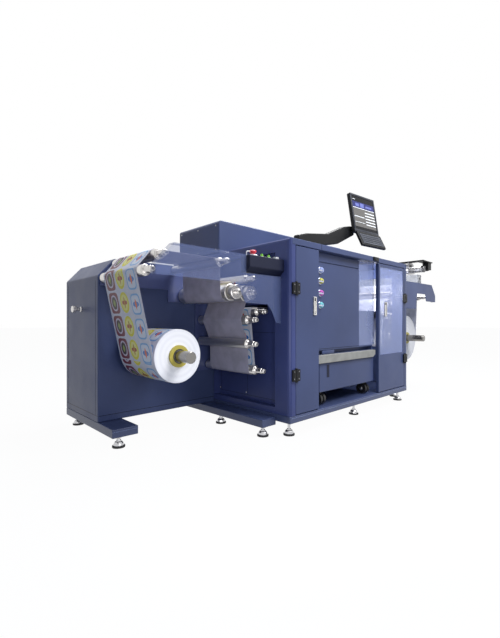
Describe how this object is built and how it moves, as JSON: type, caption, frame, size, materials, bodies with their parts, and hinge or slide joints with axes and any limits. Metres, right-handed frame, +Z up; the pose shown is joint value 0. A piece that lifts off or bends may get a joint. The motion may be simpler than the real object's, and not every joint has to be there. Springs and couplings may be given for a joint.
{
  "type": "digital label press",
  "caption": "Roll-to-roll label press: unwinder, enclosed print body with doors and display, and rewinder, with label web, rollers and reels, on levelling feet.",
  "frame": {"origin": "on the floor, under the middle of the machine's length and depth", "axes": "+X from the rewinder to the unwinder, +Y from the door side to the back, +Z up"},
  "size_m": [3.4846, 1.3155, 1.7752],
  "materials": {
    "blue_panel": "satin navy blue powder coat",
    "grey_panel": "light grey powder coat",
    "dark_panel": "satin dark blue powder coat",
    "clear_cover": "clear pane with a blue tint",
    "roller_metal": "polished rollers and knobs",
    "steel": "brushed steel",
    "label_web": "white label stock with a printed side",
    "black_part": "black moulded plastic",
    "tray_plastic": "light grey moulded plastic",
    "red_button": "red moulded plastic",
    "green_button": "green moulded plastic",
    "white_button": "white moulded plastic",
    "port_blue": "pale blue moulded plastic",
    "port_yellow": "yellow moulded plastic",
    "port_magenta": "magenta moulded plastic",
    "port_cyan": "cyan moulded plastic"
  },
  "bodies": {
    "machine": {"rewinder_cabinet": "blue_panel", "unwinder_cabinet": "blue_panel", "rewinder_outer_base": "blue_panel", "unwinder_outer_base": "blue_panel", "rewinder_inner_base": "blue_panel", "unwinder_inner_base": "blue_panel", "rewinder_front_cover": "clear_cover", "unwinder_front_cover": "blue_panel", "rewinder_roller_frame": "roller_metal", "unwinder_roller_frame": "roller_metal", "rewinder_end_knob": "roller_metal", "unwinder_end_knob": "roller_metal", "rewinder_web": "label_web", "unwinder_web": "label_web", "main_base": "blue_panel", "main_left_wall": "blue_panel", "main_right_wall": "blue_panel", "main_rear_housing": "dark_panel", "main_roof": "blue_panel", "main_front_beam": "blue_panel", "upper_housing": "blue_panel", "engine_body": "blue_panel", "engine_drawer": "blue_panel", "engine_tray": "tray_plastic", "engine_castor_left": "black_part", "engine_castor_right": "black_part", "engine_side_guard": "clear_cover", "unwinder_guide_beam": "grey_panel", "unwinder_guide_rollers": "roller_metal", "unwinder_sensor_arm": "black_part", "toner_port_blue": "port_blue", "toner_port_yellow": "port_yellow", "toner_port_magenta": "port_magenta", "toner_port_cyan": "port_cyan", "control_box": "dark_panel", "emergency_stop": "red_button", "green_button_1": "green_button", "green_button_2": "green_button", "white_button": "white_button", "monitor_base": "black_part"},
    "left_door_leaf": {"left_door": "blue_panel", "left_door_handle": "steel", "left_door_hinge_upper": "black_part", "left_door_hinge_lower": "black_part"},
    "right_door_leaf": {"right_door": "blue_panel", "right_door_pane": "clear_cover", "right_door_handle": "steel", "right_door_hinge_upper": "black_part", "right_door_hinge_lower": "black_part"},
    "rewind_reel": {"rewind_roll": "label_web", "rewind_core_shaft": "steel"},
    "unwind_reel": {"unwind_roll": "label_web", "unwind_core_shaft": "steel"},
    "display_arm": {"monitor_arm": "black_part", "monitor_display": "black_part", "monitor_keyboard": "black_part"}
  },
  "joints": [
    {"name": "left_door_swing", "type": "hinge", "parent": "machine", "child": "left_door_leaf", "pos_m": [-0.762, -0.658, 0.675], "axis": [0, 0, -1], "range_deg": [0, 110]},
    {"name": "right_door_swing", "type": "hinge", "parent": "machine", "child": "right_door_leaf", "pos_m": [0.762, -0.658, 0.675], "axis": [0, 0, 1], "range_deg": [0, 110]},
    {"name": "rewind_spin", "type": "hinge", "parent": "machine", "child": "rewind_reel", "pos_m": [-1.436, -0.1875, 0.526], "axis": [0, 1, 0], "continuous": true},
    {"name": "unwind_spin", "type": "hinge", "parent": "machine", "child": "unwind_reel", "pos_m": [1.407, -0.1875, 0.535], "axis": [0, 1, 0], "continuous": true},
    {"name": "display_swing", "type": "hinge", "parent": "machine", "child": "display_arm", "pos_m": [-0.455, -0.44, 1.26], "axis": [0, 0, -1], "range_deg": [-20, 60]}
  ]
}
